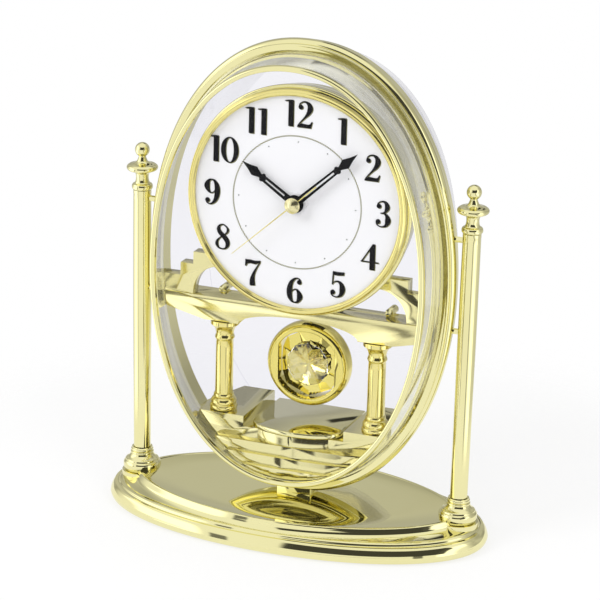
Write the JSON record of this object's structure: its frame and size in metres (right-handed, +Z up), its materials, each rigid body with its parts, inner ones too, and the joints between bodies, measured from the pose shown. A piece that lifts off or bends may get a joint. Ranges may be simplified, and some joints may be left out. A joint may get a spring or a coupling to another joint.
{
  "type": "table clock",
  "caption": "Gold oval table clock in clear covers, with round dial, two side posts, pillared bridge, turning hoop pendulum and stepped base.",
  "frame": {"origin": "on the surface the clock stands on, under the middle of its whole width and depth", "axes": "+Z is up, -Y is the side of the dial, +X is to the right for someone who reads the dial"},
  "size_m": [0.222, 0.1122, 0.2743],
  "materials": {
    "pale_gold": "polished pale champagne gold plating",
    "rich_gold": "polished rich gold plating",
    "clear_plastic": "clear moulded plastic",
    "white_dial": "satin white paint",
    "black_enamel": "satin black paint",
    "dark_plastic": "matt black",
    "white_plastic": "matt off-white",
    "steel": "plain",
    "plain_brass": "plain",
    "copper_wire": "enamelled copper wire",
    "grey_rubber": "matt",
    "crystal": "cut and clear",
    "green_board": "green lacquer"
  },
  "bodies": {
    "clock": {"base_cover": "dark_plastic", "base_shell": "pale_gold", "battery": "dark_plastic", "bridge": "pale_gold", "circuit_board": "green_board", "coil": "copper_wire", "column_left": "pale_gold", "column_right": "pale_gold", "contact_left": "steel", "contact_right": "steel", "dial_bezel": "rich_gold", "dial_drum": "pale_gold", "dial_nut": "plain_brass", "dial_plate": "white_dial", "drive_coil": "copper_wire", "finial_left": "pale_gold", "finial_right": "pale_gold", "foot_left": "pale_gold", "foot_right": "pale_gold", "front_bezel": "pale_gold", "front_cover": "clear_plastic", "main_frame": "pale_gold", "motor_housing": "dark_plastic", "movement_case": "white_plastic", "movement_lid": "white_plastic", "pad_front_left": "grey_rubber", "pad_front_right": "grey_rubber", "pad_rear_left": "grey_rubber", "pad_rear_right": "grey_rubber", "pillar_left": "rich_gold", "pillar_right": "rich_gold", "pin_lower_left": "pale_gold", "pin_lower_right": "pale_gold", "pin_upper_left": "pale_gold", "pin_upper_right": "pale_gold", "platform": "pale_gold", "post_screw_left": "steel", "post_screw_right": "steel", "rear_cover": "clear_plastic", "stage": "pale_gold", "stator": "steel"},
    "minute_train": {"cannon_pinion": "plain_brass", "minute_hand": "black_enamel"},
    "hour_train": {"hour_wheel": "plain_brass", "hour_hand": "black_enamel"},
    "motion_train": {"motion_wheel": "plain_brass", "set_knob": "white_plastic"},
    "seconds_train": {"seconds_wheel": "plain_brass", "second_hand": "pale_gold", "hand_cap": "rich_gold"},
    "third_train": {"third_wheel": "plain_brass"},
    "centre_train": {"centre_wheel": "plain_brass"},
    "drive_train": {"drive_wheel": "white_plastic"},
    "rotor_train": {"rotor": "white_plastic"},
    "pendulum": {"spindle": "steel", "hoop": "rich_gold", "petals": "rich_gold", "crystal_front": "crystal", "crystal_rear": "crystal"},
    "door": {"rear_door": "clear_plastic"}
  },
  "joints": [
    {"name": "minute_turn", "type": "hinge", "parent": "clock", "child": "minute_train", "pos_m": [0, 0.00813, 0.18585], "axis": [0, 0.9979, -0.0645], "continuous": true},
    {"name": "hour_turn", "type": "hinge", "parent": "clock", "child": "hour_train", "pos_m": [0, 0.00813, 0.18585], "axis": [0, 0.9979, -0.0645], "continuous": true},
    {"name": "motion_turn", "type": "hinge", "parent": "clock", "child": "motion_train", "pos_m": [-0.01039, 0.00851, 0.19184], "axis": [0, 0.9979, -0.0645], "continuous": true},
    {"name": "seconds_turn", "type": "hinge", "parent": "clock", "child": "seconds_train", "pos_m": [0, 0.00813, 0.18585], "axis": [0, 0.9979, -0.0645], "continuous": true},
    {"name": "third_turn", "type": "hinge", "parent": "clock", "child": "third_train", "pos_m": [0.00995, 0.00857, 0.19281], "axis": [0, 0.9979, -0.0645], "continuous": true},
    {"name": "centre_turn", "type": "hinge", "parent": "clock", "child": "centre_train", "pos_m": [0, 0.00813, 0.18585], "axis": [0, 0.9979, -0.0645], "continuous": true},
    {"name": "drive_turn", "type": "hinge", "parent": "clock", "child": "drive_train", "pos_m": [0, 0.00878, 0.19591], "axis": [0, 0.9979, -0.0645], "continuous": true},
    {"name": "rotor_turn", "type": "hinge", "parent": "clock", "child": "rotor_train", "pos_m": [-0.00933, 0.0089, 0.19789], "axis": [0, 0.9979, -0.0645], "continuous": true},
    {"name": "pendulum_turn", "type": "hinge", "parent": "clock", "child": "pendulum", "pos_m": [0, 0.01629, 0.08592], "axis": [0, 0.0645, 0.9979], "continuous": true},
    {"name": "door_swing", "type": "hinge", "parent": "clock", "child": "door", "pos_m": [-0.0438, 0.05313, 0.18294], "axis": [0, 0.0645, 0.9979], "range_deg": [0, 100]}
  ],
  "couplings": [
    {"joint": "motion_turn", "follows": "minute_turn", "ratio": -0.33333},
    {"joint": "hour_turn", "follows": "minute_turn", "ratio": 0.083333},
    {"joint": "third_turn", "follows": "seconds_turn", "ratio": -0.13333},
    {"joint": "centre_turn", "follows": "seconds_turn", "ratio": 0.016667},
    {"joint": "drive_turn", "follows": "seconds_turn", "ratio": -6},
    {"joint": "rotor_turn", "follows": "seconds_turn", "ratio": 30}
  ]
}
